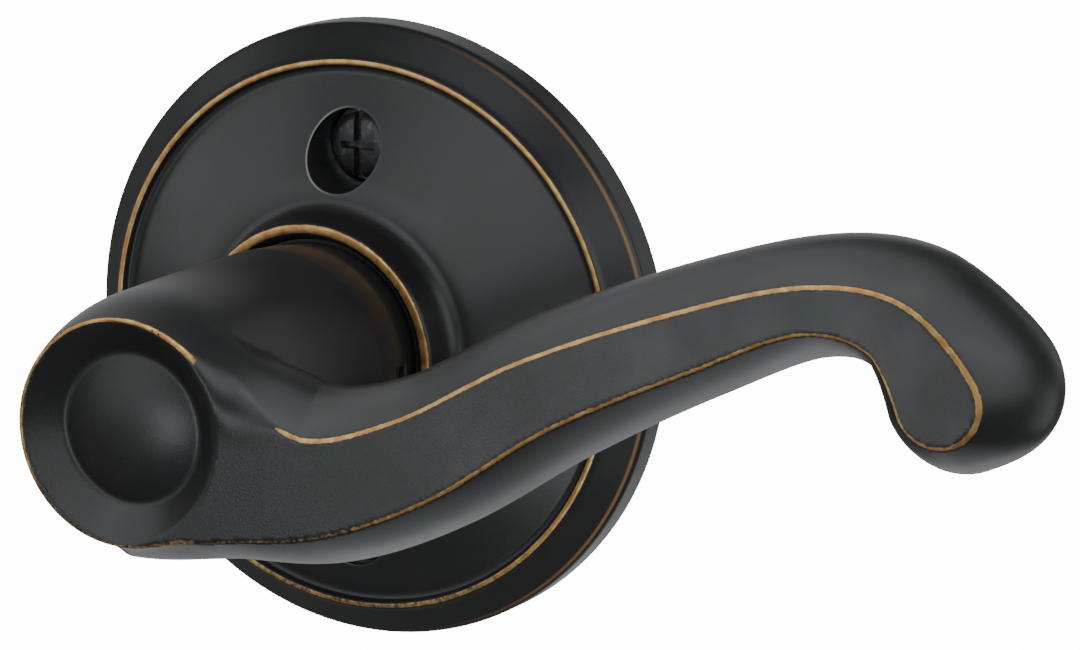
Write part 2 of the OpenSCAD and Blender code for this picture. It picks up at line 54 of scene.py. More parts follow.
# Lever: h is the height above the door face, and r the distance from the spindle axis
HUB_TOP = -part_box("lever")[0].y / MM
FACE_TILT = math.radians(5.7)
NECK_LINE = [(16.4, 12.0), (18, 12.05), (20, 12.4), (25, 12.9), (32, 13.1), (40, 13.33), (48, 13.45)]
NECK_BASE = 16.4
CROWN_H = HUB_TOP - 9.25
CROWN_R = 27.2
HUB_R = 13.45
DISH_R = 7.9
DISH_DEPTH = 2.8
DISH_H = HUB_TOP - DISH_DEPTH
DISH_SLOPE = DISH_DEPTH / 3.85
DOME_H = 1.5
BORE_R = 9.55
BORE_TOP = 40

# Slot for the catch, in the neck
CATCH_H = 20.1
CATCH_ANGLE = math.radians(-4)
SLOT_HALF_WIDTH = 1.6
SLOT_HALF_HEIGHT = 1.1
SLOT_INNER_R = BORE_R - 2

# Stations on the lever's front face: along, up, half width, bulge above, bulge below
ARM = np.array([
    [0, -2.05, 9.3, 2.6, 1.8],
    [11, -3.1, 7.4, 3.4, 3],
    [21, -3.85, 5.05, 4.2, 4],
    [32, 0.05, 4.3, 3.4, 4.2],
    [45, 7.8, 3.65, 3.4, 4.5],
    [60, 14.3, 3.05, 3.7, 3.8],
    [73, 18.8, 2.35, 3.8, 3.6],
    [82.25, 17.6, 3.15, 4.5, 2.8],
    [87.5, 10.6, 4.35, 6.35, 3.05],
])
# One more station, placed so that the arm curls to its end and stops widening there
END_PULL = [-2, -1]
STATIONS = np.vstack([ARM, np.append(ARM[-1][:2] + END_PULL, ARM[-2][2:])])
ARM_START = ARM[0][0]
ARM_BELLY = 7
ARM_BACK = 13
ARM_CORE = 0.42
TIP_BULGE = 4

# The lever's surface is sampled on a grid of this step, in a box in the frame of its tilted face
GRID_STEP = 0.35
GRID_LOW = np.array([-15.5, -18.5, -1.2])
GRID_HIGH = np.array([98.6, 28.4, 44.5])
# How far apart the fields are sampled for their slopes, and for the surface's directions
SLOPE_REACH = 0.02
NORMAL_REACH = 0.12
# Search for the nearest place on the arm's line: first guesses per station, points at a time, and steps
GUESSES = 6
CHUNK = 20000
SEARCH_STEPS = 4


# ---------- mesh helpers ----------


def surface_net(values):
    """Vertices (in grid steps) and outward quads of the surface where a sampled field is zero."""
    dims = np.array(values.shape)
    axes = np.eye(3, dtype=int)
    spots, cells, quads = [], [], []
    for axis in range(3):
        lower = [slice(0, n - 1) if a == axis else slice(None) for a, n in enumerate(dims)]
        upper = [slice(1, None) if a == axis else slice(None) for a in range(3)]
        at = np.argwhere((values[tuple(lower)] < 0) != (values[tuple(upper)] < 0))
        low = values[tuple(at.T)]
        high = values[tuple((at + axes[axis]).T)]
        spot = at + axes[axis] * (low / (low - high))[:, None]
        a, b = axes[(axis + 1) % 3], axes[(axis + 2) % 3]
        ring = [at, at - a, at - a - b, at - b]
        ids = np.stack([(c[:, 0] * dims[1] + c[:, 1]) * dims[2] + c[:, 2] for c in ring], 1)
        ids[low >= 0] = ids[low >= 0][:, ::-1]
        spots.append(np.repeat(spot, 4, axis=0))
        cells.append(ids.ravel())
        quads.append(ids)
    spots, cells = np.concatenate(spots), np.concatenate(cells)
    names, index = np.unique(cells, return_inverse=True)
    count = np.bincount(index)
    vertices = np.stack([np.bincount(index, spots[:, k]) / count for k in range(3)], 1)
    return vertices, np.searchsorted(names, np.concatenate(quads))


def split_quads(quads, points, ridge):
    """Two triangles from each quad, split along the ridge that passes through it."""
    a, b, c, d = quads.T
    along_ac = ridge[a].astype(int) + ridge[c]
    along_bd = ridge[b].astype(int) + ridge[d]
    short_ac = np.linalg.norm(points[a] - points[c], axis=1) < np.linalg.norm(points[b] - points[d], axis=1)
    use_ac = (along_ac > along_bd) | ((along_ac == along_bd) & short_ac)
    first = np.where(use_ac[:, None], np.stack([a, b, c], 1), np.stack([a, b, d], 1))
    second = np.where(use_ac[:, None], np.stack([a, c, d], 1), np.stack([b, c, d], 1))
    return np.concatenate([first, second])


def make_object(name, points, faces, body, normals=None, values=None):
    """A mesh object from points in metres, riding on a body, with smooth faces."""
    mesh = bpy.data.meshes.new(name)
    mesh.from_pydata(points.tolist(), [], faces.tolist() if hasattr(faces, "tolist") else faces)
    mesh.update()
    mesh.shade_smooth()
    if normals is not None:
        mesh.normals_split_custom_set_from_vertices(normals.tolist())
    for key, numbers in (values or {}).items():
        mesh.attributes.new(key, "FLOAT", "POINT").data.foreach_set("value", numbers.astype(np.float32))
    thing = bpy.data.objects.new(name, mesh)
    bpy.context.scene.collection.objects.link(thing)
    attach(thing, body)
    return thing


# ---------- the lever ----------


def smooth_max(a, b, width):
    """The larger of two fields, rounded over a width where they are close."""
    near = np.maximum(width - np.abs(a - b), 0)
    return np.maximum(a, b) + near * near / (4 * np.maximum(width, 1e-6))


def smooth_min(a, b, width):
    """The smaller of two fields, rounded over a width where they are close."""
    return -smooth_max(-a, -b, width)


def smooth_step(value, low, high):
    """A soft step from 0 to 1 as value goes from low to high, or the other way if low is larger."""
    t = np.clip((value - low) / (high - low), 0, 1)
    return t * t * (3 - 2 * t)


def arm_curve(at):
    """The smooth curve through the stations at a place along it, with its first two derivatives."""
    last = len(ARM) - 1
    i = np.clip(at.astype(int), 0, last - 1)
    t = (at - i)[:, None]
    p0, p1, p2, p3 = (STATIONS[np.maximum(i + k, 0)] for k in (-1, 0, 1, 2))
    one, two, three = p2 - p0, 2 * p0 - 5 * p1 + 4 * p2 - p3, 3 * p1 - p0 - 3 * p2 + p3
    place = p1 + 0.5 * (one * t + two * t ** 2 + three * t ** 3)
    return place, 0.5 * (one + 2 * two * t + 3 * three * t ** 2), two + 3 * three * t


def arm_section(u, v):
    """At points on the face plane: distance from the arm's line, side, face half width and bulge."""
    last = len(ARM) - 1
    guesses = np.linspace(0, last, GUESSES * last + 1)
    line = arm_curve(guesses)[0][:, :2]
    flat = np.stack([u.ravel(), v.ravel()], 1)
    at = np.empty(len(flat))
    for part in np.array_split(np.arange(len(flat)), max(1, len(flat) // CHUNK)):
        gap2 = (flat[part, 0, None] - line[:, 0]) ** 2 + (flat[part, 1, None] - line[:, 1]) ** 2
        at[part] = guesses[gap2.argmin(1)]
    for _ in range(SEARCH_STEPS):
        place, slope, bend = (c[:, :2] for c in arm_curve(at))
        gap = place - flat
        size = (slope ** 2).sum(1)
        steep = np.maximum(size + (gap * bend).sum(1), 0.3 * size)
        at -= np.clip((gap * slope).sum(1) / steep, -0.1, 0.1)
        at = np.clip(at, 0, last)
    place, slope, _ = arm_curve(at)
    off = flat - place[:, :2]
    ahead = slope[:, :2] / np.linalg.norm(slope[:, :2], axis=1, keepdims=True)
    rise = ahead[:, 0] * off[:, 1] - ahead[:, 1] * off[:, 0]
    distance = np.linalg.norm(off, axis=1)
    bulge = np.where(rise >= 0, place[:, 3], place[:, 4])
    share = np.clip((off * ahead).sum(1) / np.maximum(distance, 1e-6), 0, 1) ** 3
    bulge = np.where(at >= last, TIP_BULGE * share + bulge * (1 - share), bulge)
    return [part.reshape(u.shape) for part in (distance, np.sign(rise), place[:, 2], bulge, place[:, 0])]


def arm_field(section, w):
    """Signed distance to the arm, w being the depth behind its front face."""
    distance, _, half, bulge, _ = section
    t = np.clip(w / ARM_BELLY, -0.5, 1)
    slope = 2 * bulge * (1 - t) / ARM_BELLY
    side = (distance - half - bulge * (1 - (1 - t) ** 2)) / np.sqrt(1 + slope ** 2)
    width = half + bulge
    a, b = (1 - ARM_CORE) * width, ARM_BACK - ARM_BELLY
    x, y = np.maximum(distance - ARM_CORE * width, 0), np.maximum(w - ARM_BELLY, 0)
    level = np.sqrt((x / a) ** 2 + (y / b) ** 2)
    steep = np.sqrt((x / a ** 2) ** 2 + (y / b ** 2) ** 2) / np.maximum(level, 1e-6)
    back = (level - 1) / np.maximum(steep, 1 / (a + b))
    return np.where(w < ARM_BELLY, side, back)


def hub_radius(h):
    """Radius of the hub and the neck at a height."""
    neck_h, neck_r = np.array(NECK_LINE).T
    low = np.interp(h, neck_h, neck_r)
    high = HUB_R - CROWN_R + np.sqrt(CROWN_R ** 2 - np.clip(h - CROWN_H, 0, CROWN_R - 1) ** 2)
    return np.where(h < CROWN_H, low, high)


def dish_floor(r):
    """Height of the dish in the hub's face, with its low dome, at a distance from the axis."""
    dome_r = (DISH_R ** 2 + DOME_H ** 2) / (2 * DOME_H)
    dome = DISH_H + DOME_H - dome_r + np.sqrt(np.maximum(dome_r ** 2 - r ** 2, 0))
    cone = DISH_H + (r - DISH_R) * DISH_SLOPE
    return smooth_max(dome, cone, 0.5)


def fillet_width(v, w):
    """Width of the fillet between the arm and the hub: wide in front above the arm, and behind below it."""
    above = 3.6 - 2.8 * smooth_step(w, 4, 9)
    below = 0.8 + 3.4 * smooth_step(w, 0, 5)
    share = smooth_step(v, -4, 2)
    return above * share + below * (1 - share)


def ridge_lift(u, v, skin):
    """Height of the soft ridge that carries the hub's rim down to the arm's upper edge."""
    ridge = smooth_step(skin, -4.5, 0) * smooth_step(v, -1, 4)
    return 0.7 * math.tan(FACE_TILT) * np.maximum(u, 0) * smooth_step(u, 18, 5) * ridge


def edge_softness(u, v):
    """Width of the soft upper edge of the face, where the hub flows into the arm."""
    middle, spread, most = 12, 3.6, 2.4
    return most * np.exp(-(((u - middle) / spread) ** 2)) * smooth_step(v, -6, -2)


def slot_field(x, v, h):
    """Field of the slot for the catch, positive inside it."""
    out = x * math.cos(CATCH_ANGLE) + v * math.sin(CATCH_ANGLE)
    across = v * math.cos(CATCH_ANGLE) - x * math.sin(CATCH_ANGLE)
    sides = np.maximum(np.abs(across) - SLOT_HALF_WIDTH, np.abs(h - CATCH_H) - SLOT_HALF_HEIGHT)
    return -np.maximum(sides, SLOT_INNER_R - out)


def lever_fields(u, v, w, section):
    """The surfaces that bound the lever. It is solid where all of them are negative."""
    x = u * math.cos(FACE_TILT) - w * math.sin(FACE_TILT)
    h = HUB_TOP - u * math.sin(FACE_TILT) - w * math.cos(FACE_TILT)
    r = np.sqrt(x * x + v * v)
    arm = smooth_max(arm_field(section, w), ARM_START - u + 0 * w, 0.5)
    skin = smooth_min(r - hub_radius(h), arm, fillet_width(v, w))
    front = smooth_max(h - HUB_TOP, -w - ridge_lift(u, v, skin), 0.2)
    dish = (h - dish_floor(r)) * math.cos(math.atan(DISH_SLOPE))
    bore = -np.maximum(r - BORE_R, h - BORE_TOP)
    edge = smooth_max(skin, front, edge_softness(u, v) + 0 * w)
    return [skin, front, dish, bore, slot_field(x, v, h), NECK_BASE - h, edge]


def lever_points(u, v, w):
    """Points in the part's frame, in metres, from the tilted frame of the lever's front face."""
    x = u * math.cos(FACE_TILT) - w * math.sin(FACE_TILT)
    h = HUB_TOP - u * math.sin(FACE_TILT) - w * math.cos(FACE_TILT)
    return np.stack([x, -h, v], 1) * MM


def field_slopes(points, reach=SLOPE_REACH):
    """The lever's fields at points in its tilted frame, and how they change along each axis."""
    u, v, w = points.T
    here = arm_section(u, v)
    base = np.stack(lever_fields(u, v, w, here))
    along_u = np.stack(lever_fields(u + reach, v, w, arm_section(u + reach, v)))
    along_v = np.stack(lever_fields(u, v + reach, w, arm_section(u, v + reach)))
    along_w = np.stack(lever_fields(u, v, w + reach, here))
    return base, np.stack([along_u - base, along_v - base, along_w - base], 2) / reach, here


def settle(points, step):
    """Moves points onto the lever's surface, and onto its edges where two surfaces meet."""
    for _ in range(3):
        base, slopes, _ = field_slopes(points)
        near = base > base.max(0) - 0.75 * step
        near[-1] &= near[:-1].sum(0) == 0
        jac = np.moveaxis(slopes * near[..., None], 0, 1)
        gap = (base * near).T
        square = jac @ np.swapaxes(jac, 1, 2) + 1e-3 * np.eye(len(base))
        move = np.einsum("nki,nk->ni", jac, np.linalg.solve(square, gap[..., None])[..., 0])
        size = np.linalg.norm(move, axis=1, keepdims=True)
        points = points - move * np.minimum(1, 0.7 * step / np.maximum(size, 1e-9))
    return points, near.sum(0) > 1


def surface_normals(points, reach=NORMAL_REACH):
    """Outward directions of the lever's surface, softened a little across its edges."""
    ways = []
    for axis in np.eye(3):
        ends = [points + side * reach * axis for side in (-1, 1)]
        tops = [np.max(lever_fields(*e.T, arm_section(e[:, 0], e[:, 1])), axis=0) for e in ends]
        ways.append(tops[1] - tops[0])
    turned = lever_points(*ways) - lever_points(*np.zeros((3, 1)))
    return turned / np.linalg.norm(turned, axis=1, keepdims=True)


def lower_edge_shading(points, side, along):
    """The points to take directions at. The lower edge of the arm's face is shaded as the face is, so
    that the dark turn falls just below it."""
    clear_of_hub, edge_depth, shift = 12, 0.1, 0.1
    shaded = points.copy()
    shaded[(side < 0) & (along > clear_of_hub) & (points[:, 2] < edge_depth), 2] -= shift
    return shaded


def make_lever(step=GRID_STEP):
    """The lever as one fine surface, with the distances that its wear follows kept on its points."""
    u, v, w = (np.arange(a + step / 3, b, step) for a, b in zip(GRID_LOW, GRID_HIGH))
    section = [s[:, :, None] for s in arm_section(*np.meshgrid(u, v, indexing="ij"))]
    fields = lever_fields(u[:, None, None], v[None, :, None], w[None, None, :], section)
    solid = np.full((len(u), len(v), len(w)), -1e3, np.float32)
    for field in fields:
        solid = np.maximum(solid, field.astype(np.float32))
    steps, quads = surface_net(solid)
    points, ridge = settle(GRID_LOW + step / 3 + steps * step, step)
    at = lever_points(*points.T)
    base, _, (_, side, _, _, along) = field_slopes(points)
    values = {
        "face_edge": np.hypot(base[0], base[1]),
        "rim_edge": np.hypot(base[0], np.minimum(np.abs(base[1]), np.abs(base[2]))),
        "upper": (side > 0).astype(float),
        "along": along,
    }
    normals = surface_normals(lower_edge_shading(points, side, along))
    # The tilted frame is a mirrored one, so its faces are turned over
    faces = split_quads(quads, at, ridge)[:, ::-1]
    lever = make_object("lever_body", at, faces, "lever", normals, values)
    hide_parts("lever")
    return lever


# ---------- the rose ----------

ROSE_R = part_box("rose")[1].x / MM
BOSS_H = -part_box("rose")[0].y / MM
SCREW_OFFSET = 20.65
THREAD_PITCH = 0.8
HOLE_R = 4.25
COLLAR_R = HOLE_R + 0.9
COLLAR_BASE = 3.4
RING_R = 29.5
RING_H = 6.75
LIP_R = 13.55
# Section of the rose from the bore, over the boss and out to the door: radius, height, corner radius
ROSE_OUTSIDE = [
    (12.35, 11.9, 0),
    (12.35, BOSS_H - 0.75, 0.4),
    (13.1, BOSS_H, 0.35),
    (14.2, BOSS_H, 0.7),
    (14.5, 12.35, 2.2),
    (17.2, 11.97, 1.7),
    (28.35, 5.97, 0.35),
    (28.95, 6.05, 0.15),
    (29.25, RING_H, 0.25),
    (29.85, RING_H - 0.05, 0.35),
    (30.2, 6.2, 0.4),
    (ROSE_R - 0.5, 3.8, 0.3),
    (ROSE_R, 3.3, 0.4),
    (ROSE_R, 0, 0),
]
ROSE_INSIDE = [
    (ROSE_R - 1.5, 0, 0.1),
    (ROSE_R - 1.5, 2.9, 0.5),
    (29.5, 4.9, 0.4),
    (27.7, 4.5, 0.4),
    (16.16, 10.75, 0.3),
    (15.4, 11.9, 0),
]
# Height of the middle of the rose's sloping wall, at three distances from the spindle
WALL_R = [14.5, 16.7, 28.3]
WALL_H = [12.5, 11.6, 5.3]
ROSE_SEGMENTS = 256
HOLE_SEGMENTS = 128
# Longest pieces of the section, and the angle in degrees above which an edge is sharp
OUTSIDE_STEP = 1.2
INSIDE_STEP = 2.5
SHARP_ANGLE = 38


def rounded(corners, arc_steps=7):
    """A line through corners, each cut by a smooth arc about as far from it as its radius."""
    line = []
    for i, (x, y, radius) in enumerate(corners):
        here = np.array([x, y])
        if radius == 0 or i in (0, len(corners) - 1):
            line.append(here)
            continue
        back = np.array(corners[i - 1][:2]) - here
        ahead = np.array(corners[i + 1][:2]) - here
        start = here + back * min(0.48, radius / np.linalg.norm(back))
        end = here + ahead * min(0.48, radius / np.linalg.norm(ahead))
        for t in np.linspace(0, 1, arc_steps + 1):
            line.append((1 - t) ** 2 * start + 2 * t * (1 - t) * here + t ** 2 * end)
    return np.array(line)


def densify(line, longest):
    """The same line, with no piece longer than a length."""
    out = [line[0]]
    for a, b in zip(line[:-1], line[1:]):
        count = max(1, math.ceil(np.linalg.norm(b - a) / longest))
        out += [a + (b - a) * k / count for k in range(1, count + 1)]
    return np.array(out)


def lathe(line, segments):
    """Points in metres and quads of a closed section turned about the spindle axis."""
    angle = np.arange(segments) * 2 * math.pi / segments
    r, h = line[:, 0, None], line[:, 1, None]
    points = np.stack([r * np.cos(angle), -h + 0 * angle, r * np.sin(angle)], 2).reshape(-1, 3) * MM
    rows, around = np.meshgrid(np.arange(len(line)), np.arange(segments), indexing="ij")
    a = rows * segments + around
    b = rows * segments + (around + 1) % segments
    c = (rows + 1) % len(line) * segments + (around + 1) % segments
    d = (rows + 1) % len(line) * segments + around
    return points, np.stack([a, b, c, d], 2).reshape(-1, 4)


def tube_between(outer, inner, low, high, z, top=None, segments=96):
    """A closed ring, or a plug if inner is 0, standing out of the door at a height up it.
    Where top is given, the ring's outer end follows that height over the distance from the spindle."""
    line = [(outer, low), (outer, high), (inner, high), (inner, low)]
    points, faces = lathe(np.array(line, float), segments)
    points[:, 2] += z * MM
    if top:
        ends = points[:, 1] < -(low + high) / 2 * MM
        points[ends, 1] = -top(np.hypot(points[ends, 0], points[ends, 2]) / MM) * MM
    mesh = bpy.data.meshes.new("cutter")
    mesh.from_pydata(points.tolist(), [], faces.tolist())
    if inner == 0:
        tidy = bmesh.new()
        tidy.from_mesh(mesh)
        bmesh.ops.remove_doubles(tidy, verts=tidy.verts, dist=1e-7)
        tidy.to_mesh(mesh)
        tidy.free()
    thing = bpy.data.objects.new("cutter", mesh)
    bpy.context.scene.collection.objects.link(thing)
    return thing


def combine(target, tool, operation):
    """Applies a boolean with a tool, and removes the tool."""
    step = target.modifiers.new("step", "BOOLEAN")
    step.operation = operation
    step.object = tool
    step.solver = "EXACT"
    bpy.context.view_layer.update()
    shape = bpy.data.meshes.new_from_object(target.evaluated_get(bpy.context.evaluated_depsgraph_get()))
    target.modifiers.clear()
    target.data = shape
    bpy.data.objects.remove(tool)


def smooth_by_angle(thing, degrees):
    """Smooth shading, with sharp edges where faces meet at more than an angle."""
    thing.data.shade_smooth()
    thing.data.set_sharp_from_angle(angle=math.radians(degrees))


def wall_middle(r):
    """Height of the middle of the rose's sloping wall, at a distance from the spindle."""
    return np.interp(r, WALL_R, WALL_H)


def make_rose():
    """The rose as a turned shell, with a collar behind each screw hole."""
    outside = densify(rounded(ROSE_OUTSIDE), OUTSIDE_STEP)
    inside = densify(rounded(ROSE_INSIDE), INSIDE_STEP)
    points, faces = lathe(np.concatenate([outside, inside]), ROSE_SEGMENTS)
    rose = make_object("rose_cover", points, faces, "trim")
    for side in (-1, 1):
        z = side * SCREW_OFFSET
        combine(rose, tube_between(COLLAR_R, HOLE_R - 0.6, COLLAR_BASE, BOSS_H, z, wall_middle), "UNION")
        combine(rose, tube_between(HOLE_R, 0, -1, BOSS_H + 1, z, segments=HOLE_SEGMENTS), "DIFFERENCE")
    smooth_by_angle(rose, SHARP_ANGLE)
    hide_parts("rose")
    return rose


# ---------- materials ----------


def new_material(name):
    """An empty node material, and a function that adds a node with its settings and inputs."""
    material = bpy.data.materials.new(name)
    material.use_nodes = True
    tree = material.node_tree
    tree.nodes.clear()

    def add(kind, settings=None, **inputs):
        node = tree.nodes.new(kind)
        for key, value in (settings or {}).items():
            setattr(node, key, value)
        for key, value in inputs.items():
            name = key.replace("_", " ").strip()
            socket = node.inputs[int(name) if name.isdigit() else name]
            if isinstance(value, bpy.types.NodeSocket):
                tree.links.new(value, socket)
            else:
                socket.default_value = value
        return node

    return material, add


class Shade:
    """Short forms for the node steps that the materials share. The place on the object is in metres,
    and x, y and z are in millimetres."""

    def __init__(self, name):
        self.material, self.add = new_material(name)
        self.place = self.add("ShaderNodeTexCoord").outputs["Object"]
        parts = self.add("ShaderNodeSeparateXYZ", _0=self.place).outputs
        self.x, self.y, self.z = (self.calc("DIVIDE", part, MM) for part in parts)

    def calc(self, kind, a, b=0.0, c=0.0):
        """One step of arithmetic."""
        return self.add("ShaderNodeMath", {"operation": kind}, _0=a, _1=b, _2=c).outputs[0]

    def length(self, a, b):
        """Distance from the two sides of a right angle."""
        squares = [self.calc("POWER", side, 2) for side in (a, b)]
        return self.calc("SQRT", self.calc("ADD", *squares))

    def gap(self, value, middle):
        """How far value is from middle, either way."""
        return self.calc("ABSOLUTE", self.calc("SUBTRACT", value, middle))

    def product(self, *values):
        """The values multiplied together."""
        result = values[0]
        for value in values[1:]:
            result = self.calc("MULTIPLY", result, value)
        return result

    def ramp(self, value, low, high, start=0.0, end=1.0):
        """A soft step from start to end as value goes from low to high."""
        return self.add("ShaderNodeMapRange", {"interpolation_type": "SMOOTHSTEP"},
                        _0=value, _1=low, _2=high, _3=start, _4=end).outputs[0]

    def noise(self, scale, detail=4.0, stretch=(1, 1, 1)):
        """Noise from 0 to 1, its scale in features per millimetre."""
        place = self.add("ShaderNodeMapping", _0=self.place, _3=stretch).outputs[0]
        return self.add("ShaderNodeTexNoise", Vector=place, Scale=scale / MM, Detail=detail).outputs["Fac"]

    def value(self, name):
        """A number kept on the mesh's points."""
        return self.add("ShaderNodeAttribute", {"attribute_name": name}).outputs["Fac"]

    def mix(self, share, a, b):
        """Colour a where share is 0 and b where it is 1."""
        a, b = ((*c, 1) if isinstance(c, tuple) else c for c in (a, b))
        return self.add("ShaderNodeMix", {"data_type": "RGBA"}, _0=share, _6=a, _7=b).outputs[2]

    def bump(self, height, distance, strength=1.0):
        """A normal from a height of 0 to 1, over a distance in millimetres."""
        bump = self.add("ShaderNodeBump", Height=height, Distance=distance * MM, Strength=strength)
        return bump.outputs[0]

    def finish(self, **inputs):
        """Ends the material with one shader, and returns the material."""
        shader = self.add("ShaderNodeBsdfPrincipled", **inputs)
        self.add("ShaderNodeOutputMaterial", Surface=shader.outputs[0])
        return self.material


# Colours of the aged finish, of the metal under it, and the grey of the painted highlight on the rims of
# the screw holes
DARK = (0.0135, 0.0137, 0.0145)
DARK_WARM = (0.0150, 0.0148, 0.0148)
COPPER = (0.46, 0.235, 0.08)
COPPER_PALE = (0.62, 0.40, 0.15)
HIGHLIGHT_GREY = (0.30, 0.30, 0.30)
SATIN_LOW = 0.3
SATIN_HIGH = 0.38


def from_screw_axis(shade):
    """How far a place is above or below the nearer screw's axis."""
    return shade.calc("SUBTRACT", shade.calc("ABSOLUTE", shade.z), SCREW_OFFSET)


def painted_rim_highlight(shade):
    """Painted highlight: a thin pale line round each screw hole's rim, strongest on its left."""
    r = shade.length(shade.x, from_screw_axis(shade))
    thin = shade.ramp(shade.gap(r, HOLE_R + 0.13), 0.06, 0.12, 1, 0)
    return shade.product(thin, shade.ramp(shade.x, -4, 1, 0.7, 0.05))


def outer_line(shade):
    """The faint worn line near the rose's outer edge, on its right."""
    r = shade.length(shade.x, shade.z)
    thin = shade.ramp(shade.gap(r, ROSE_R - 0.42), 0.06, 0.2, 1, 0)
    front = shade.ramp(shade.y, -3, -3.2)
    right = shade.ramp(shade.x, 0.1 * ROSE_R, 0.9 * ROSE_R, 0, 0.4)
    return shade.product(thin, front, right)


def rose_tint_and_highlight(shade, dark):
    """The dark finish with a painted highlight on the rims of the screw holes and the faint worn outer line
    over it.
    """
    # Painted highlight: pale grey along the rims of the screw holes
    highlighted = shade.mix(painted_rim_highlight(shade), dark, HIGHLIGHT_GREY)
    return shade.mix(outer_line(shade), highlighted, COPPER)


def aged_bronze(name, wear_of, tint_of=None):
    """Near-black satin finish, rubbed through to bright metal where wear_of(shade) comes near 1.
    Where tint_of is given, it changes the dark colour first; for the rose it also paints a highlight round
    the screw holes."""
    shade = Shade(name)
    cloud = shade.noise(0.12, 3)
    grain = shade.noise(5, 3)
    speck = shade.noise(2.2, 5)
    wear = wear_of(shade)
    ragged = shade.calc("ADD", wear, shade.calc("MULTIPLY", shade.calc("SUBTRACT", speck, 0.5), 0.9))
    rubbed = shade.calc("MULTIPLY", shade.ramp(ragged, 0.3, 0.72), shade.ramp(wear, 0.02, 0.25))
    dark = shade.mix(shade.ramp(cloud, 0.35, 0.7), DARK, DARK_WARM)
    if tint_of:
        dark = tint_of(shade, dark)
    metal = shade.mix(shade.ramp(shade.noise(0.8, 5), 0.35, 0.65), COPPER, COPPER_PALE)
    uneven = shade.calc("ADD", cloud, shade.calc("MULTIPLY", grain, 0.3))
    satin = shade.ramp(uneven, 0.4, 0.9, SATIN_LOW, SATIN_HIGH)
    return shade.finish(
        Base_Color=shade.mix(rubbed, dark, metal),
        Metallic=shade.calc("MULTIPLY", rubbed, 0.85),
        Roughness=shade.calc("MULTIPLY_ADD", rubbed, 0.05, satin),
        Normal=shade.bump(shade.calc("ADD", grain, shade.calc("MULTIPLY", rubbed, -0.3)), 0.012),
    )


def lever_wear(shade):
    """Rubbed along the edge of the lever's face and round the rim of its hub."""
    along = shade.value("along")
    upper = shade.value("upper")
    lower = shade.calc("SUBTRACT", 1, upper)
    face = shade.ramp(shade.value("face_edge"), 0.04, 0.29, 1, 0)
    top = shade.product(upper, shade.ramp(along, 15, 18.5))
    bottom = shade.product(lower, shade.ramp(along, 18, 34, 0.42, 0.7))
    face = shade.product(face, shade.calc("ADD", top, bottom))
    rim = shade.ramp(shade.value("rim_edge"), 0.12, 0.5, 1, 0)
    clear_of_arm = shade.ramp(shade.x, 7.5, 10, 1, 0)
    less_below = shade.ramp(shade.z, -9, -2, 0.5, 1)
    return shade.calc("MAXIMUM", face, shade.product(rim, clear_of_arm, less_below))


def rose_wear(shade):
    """Rubbed along the raised ring and the lip of the boss."""
    r = shade.length(shade.x, shade.z)
    out = shade.product(shade.y, -1)

    def band(middle, half, least):
        """A ring of wear round a radius, where the rose stands out of the door by at least some height."""
        ring = shade.ramp(shade.gap(r, middle), 0.45 * half, half, 1, 0)
        return shade.product(ring, shade.ramp(out, least - 0.2, least))

    less_below = shade.ramp(shade.z, -30, -12, 0.5, 1)
    ring = shade.product(band(RING_R + 0.05, 0.36, RING_H - 0.35), less_below)
    return shade.calc("MAXIMUM", ring, band(LIP_R, 0.6, BOSS_H - 0.4))


def plated(name, colour, tint, gloss, grain_stretch=(1, 1, 1)):
    """Plated or drawn metal: cloudy tint, fine grain and small scuffs."""
    shade = Shade(name)
    cloud = shade.noise(0.25, 4)
    grain = shade.noise(3, 3, grain_stretch)
    scuff = shade.ramp(shade.noise(0.9, 6), 0.56, 0.66)
    base = shade.mix(shade.ramp(cloud, 0.35, 0.68), colour, tint)
    shine = shade.calc("MULTIPLY_ADD", grain, 0.16, gloss - 0.08)
    return shade.finish(
        Base_Color=shade.mix(shade.calc("MULTIPLY", scuff, 0.35), base, tuple(0.55 * c for c in colour)),
        Metallic=1.0,
        Roughness=shade.calc("MULTIPLY_ADD", scuff, 0.12, shine),
        Normal=shade.bump(grain, 0.02),
    )


def nylon(name, colour, tint):
    """Moulded nylon: faintly cloudy, satin, with a fine moulded texture."""
    shade = Shade(name)
    cloud = shade.noise(0.3, 3)
    grain = shade.noise(6, 2)
    return shade.finish(
        Base_Color=shade.mix(cloud, colour, tint),
        Roughness=shade.calc("MULTIPLY_ADD", grain, 0.15, 0.42),
        Subsurface_Weight=0.08,
        Normal=shade.bump(grain, 0.01),
    )


def black_oxide(name):
    """Black oxide steel, paler where a driver has rubbed it, with a thread behind the door face."""
    shade = Shade(name)
    grain = shade.noise(4, 4)
    turn = shade.calc("DIVIDE", shade.calc("ARCTAN2", shade.x, from_screw_axis(shade)), 2 * math.pi)
    wind = shade.calc("FRACT", shade.calc("ADD", shade.calc("DIVIDE", shade.y, THREAD_PITCH), turn))
    thread = shade.calc("MULTIPLY", shade.calc("PINGPONG", wind, 0.5), shade.ramp(shade.y, -0.2, 0.2, 0, 2))
    rub = shade.ramp(shade.noise(1.6, 5), 0.55, 0.7)
    return shade.finish(
        Base_Color=shade.mix(rub, (0.045, 0.045, 0.047), (0.10, 0.10, 0.104)),
        Metallic=0.6,
        Roughness=shade.calc("MULTIPLY_ADD", grain, 0.2, 0.3),
        Normal=shade.bump(shade.calc("MULTIPLY_ADD", grain, 0.03, thread), 0.4),
    )


